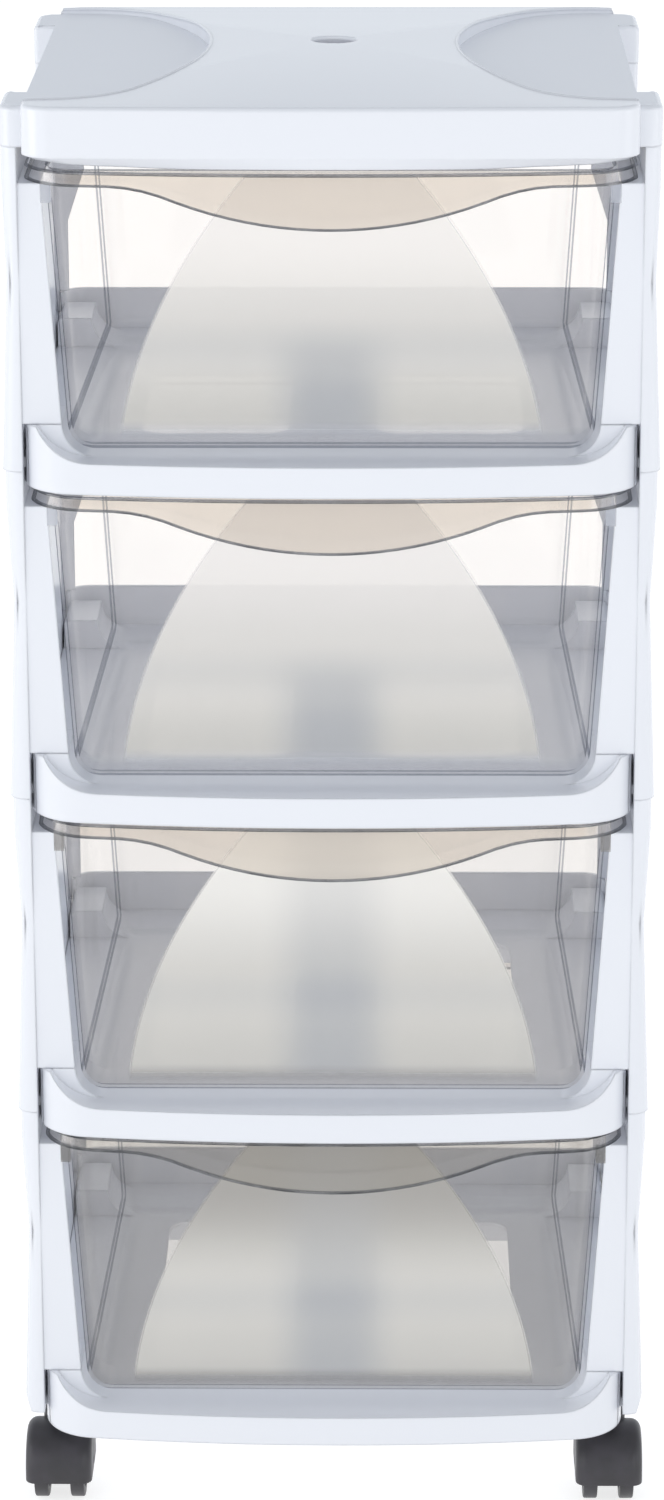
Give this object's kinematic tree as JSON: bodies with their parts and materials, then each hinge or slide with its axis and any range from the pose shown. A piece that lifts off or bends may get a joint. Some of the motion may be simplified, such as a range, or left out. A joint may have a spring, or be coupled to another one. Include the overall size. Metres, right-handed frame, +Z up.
{
  "type": "drawer tower",
  "caption": "Tall storage tower of clear plastic drawers in a white stacking frame on twin-wheel castors, with a crowned lid and deep scooped finger lips.",
  "frame": {"origin": "on the floor, under the middle of the tower's bounding box", "axes": "+Z up, the drawers open towards -Y, +X to the right seen from the front"},
  "size_m": [0.3856, 0.369, 0.8951],
  "materials": {
    "white_plastic": "smooth white moulding with a soft gloss",
    "clear_plastic": "smoky clear moulding, frosted over a wide bell on the drawer fronts",
    "black_plastic": "black moulding with a fine texture",
    "zinc_steel": "bright zinc-plated steel"
  },
  "bodies": {
    "frame": {"lid": "white_plastic", "left_side_1": "white_plastic", "left_side_2": "white_plastic", "left_side_3": "white_plastic", "left_side_4": "white_plastic", "right_side_1": "white_plastic", "right_side_2": "white_plastic", "right_side_3": "white_plastic", "right_side_4": "white_plastic", "shelf_1": "white_plastic", "shelf_2": "white_plastic", "shelf_3": "white_plastic", "base_shelf": "white_plastic", "stem_front_left": "zinc_steel", "stem_front_right": "zinc_steel", "stem_rear_left": "zinc_steel", "stem_rear_right": "zinc_steel"},
    "drawer_1": {"drawer_1": "clear_plastic"},
    "drawer_2": {"drawer_2": "clear_plastic"},
    "drawer_3": {"drawer_3": "clear_plastic"},
    "drawer_4": {"drawer_4": "clear_plastic"},
    "castor_front_left": {"hood_front_left": "black_plastic", "axle_front_left": "zinc_steel"},
    "wheel_front_left_a": {"wheel_front_left_a": "black_plastic"},
    "wheel_front_left_b": {"wheel_front_left_b": "black_plastic"},
    "castor_front_right": {"hood_front_right": "black_plastic", "axle_front_right": "zinc_steel"},
    "wheel_front_right_a": {"wheel_front_right_a": "black_plastic"},
    "wheel_front_right_b": {"wheel_front_right_b": "black_plastic"},
    "castor_rear_left": {"hood_rear_left": "black_plastic", "axle_rear_left": "zinc_steel"},
    "wheel_rear_left_a": {"wheel_rear_left_a": "black_plastic"},
    "wheel_rear_left_b": {"wheel_rear_left_b": "black_plastic"},
    "castor_rear_right": {"hood_rear_right": "black_plastic", "axle_rear_right": "zinc_steel"},
    "wheel_rear_right_a": {"wheel_rear_right_a": "black_plastic"},
    "wheel_rear_right_b": {"wheel_rear_right_b": "black_plastic"}
  },
  "joints": [
    {"name": "drawer_1_slide", "type": "slide", "parent": "frame", "child": "drawer_1", "axis": [0, -1, 0], "range_m": [0, 0.25]},
    {"name": "drawer_2_slide", "type": "slide", "parent": "frame", "child": "drawer_2", "axis": [0, -1, 0], "range_m": [0, 0.25]},
    {"name": "drawer_3_slide", "type": "slide", "parent": "frame", "child": "drawer_3", "axis": [0, -1, 0], "range_m": [0, 0.25]},
    {"name": "drawer_4_slide", "type": "slide", "parent": "frame", "child": "drawer_4", "axis": [0, -1, 0], "range_m": [0, 0.25]},
    {"name": "swivel_front_left", "type": "hinge", "parent": "frame", "child": "castor_front_left", "pos_m": [-0.172, -0.1275, 0.0535], "axis": [0, 0, 1], "continuous": true},
    {"name": "spin_front_left_a", "type": "hinge", "parent": "castor_front_left", "child": "wheel_front_left_a", "pos_m": [-0.18325, -0.1395, 0.023], "axis": [1, 0, 0], "continuous": true},
    {"name": "spin_front_left_b", "type": "hinge", "parent": "castor_front_left", "child": "wheel_front_left_b", "pos_m": [-0.16075, -0.1395, 0.023], "axis": [1, 0, 0], "continuous": true},
    {"name": "swivel_front_right", "type": "hinge", "parent": "frame", "child": "castor_front_right", "pos_m": [0.172, -0.1275, 0.0535], "axis": [0, 0, 1], "continuous": true},
    {"name": "spin_front_right_a", "type": "hinge", "parent": "castor_front_right", "child": "wheel_front_right_a", "pos_m": [0.16075, -0.1395, 0.023], "axis": [1, 0, 0], "continuous": true},
    {"name": "spin_front_right_b", "type": "hinge", "parent": "castor_front_right", "child": "wheel_front_right_b", "pos_m": [0.18325, -0.1395, 0.023], "axis": [1, 0, 0], "continuous": true},
    {"name": "swivel_rear_left", "type": "hinge", "parent": "frame", "child": "castor_rear_left", "pos_m": [-0.172, 0.1435, 0.0535], "axis": [0, 0, 1], "continuous": true},
    {"name": "spin_rear_left_a", "type": "hinge", "parent": "castor_rear_left", "child": "wheel_rear_left_a", "pos_m": [-0.18325, 0.1315, 0.023], "axis": [1, 0, 0], "continuous": true},
    {"name": "spin_rear_left_b", "type": "hinge", "parent": "castor_rear_left", "child": "wheel_rear_left_b", "pos_m": [-0.16075, 0.1315, 0.023], "axis": [1, 0, 0], "continuous": true},
    {"name": "swivel_rear_right", "type": "hinge", "parent": "frame", "child": "castor_rear_right", "pos_m": [0.172, 0.1435, 0.0535], "axis": [0, 0, 1], "continuous": true},
    {"name": "spin_rear_right_a", "type": "hinge", "parent": "castor_rear_right", "child": "wheel_rear_right_a", "pos_m": [0.16075, 0.1315, 0.023], "axis": [1, 0, 0], "continuous": true},
    {"name": "spin_rear_right_b", "type": "hinge", "parent": "castor_rear_right", "child": "wheel_rear_right_b", "pos_m": [0.18325, 0.1315, 0.023], "axis": [1, 0, 0], "continuous": true}
  ]
}
